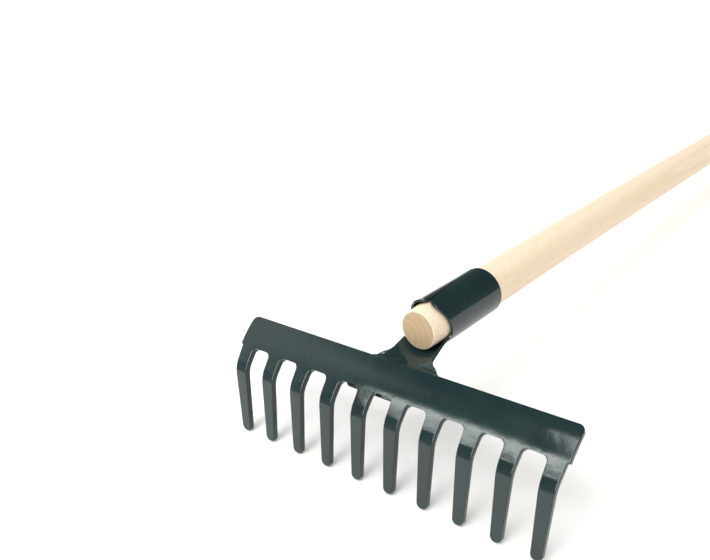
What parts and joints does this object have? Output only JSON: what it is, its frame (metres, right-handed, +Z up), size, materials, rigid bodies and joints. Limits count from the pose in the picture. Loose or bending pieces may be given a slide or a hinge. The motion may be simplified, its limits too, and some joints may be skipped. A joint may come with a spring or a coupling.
{
  "type": "garden rake",
  "caption": "Garden rake: a curved steel bar of stamped tines, welded to a rolled sheet socket that a screw fixes to a long round wooden handle.",
  "frame": {"origin": "centre of the bounding box's floor face, with the rake lying on its tine tips and the end of its handle", "axes": "+Y from the tines towards the handle's free end, +X along the plate, +Z up"},
  "size_m": [0.248, 1.5588, 0.0967],
  "materials": {
    "green_paint": "gloss",
    "pale_wood": "smooth, unvarnished",
    "zinc_steel": "zinc plated"
  },
  "bodies": {
    "root": {"tine_bar": "green_paint", "socket": "green_paint", "handle": "pale_wood", "fixing_screw": "zinc_steel", "weld_bead_left": "green_paint", "weld_bead_right": "green_paint"}
  },
  "joints": []
}
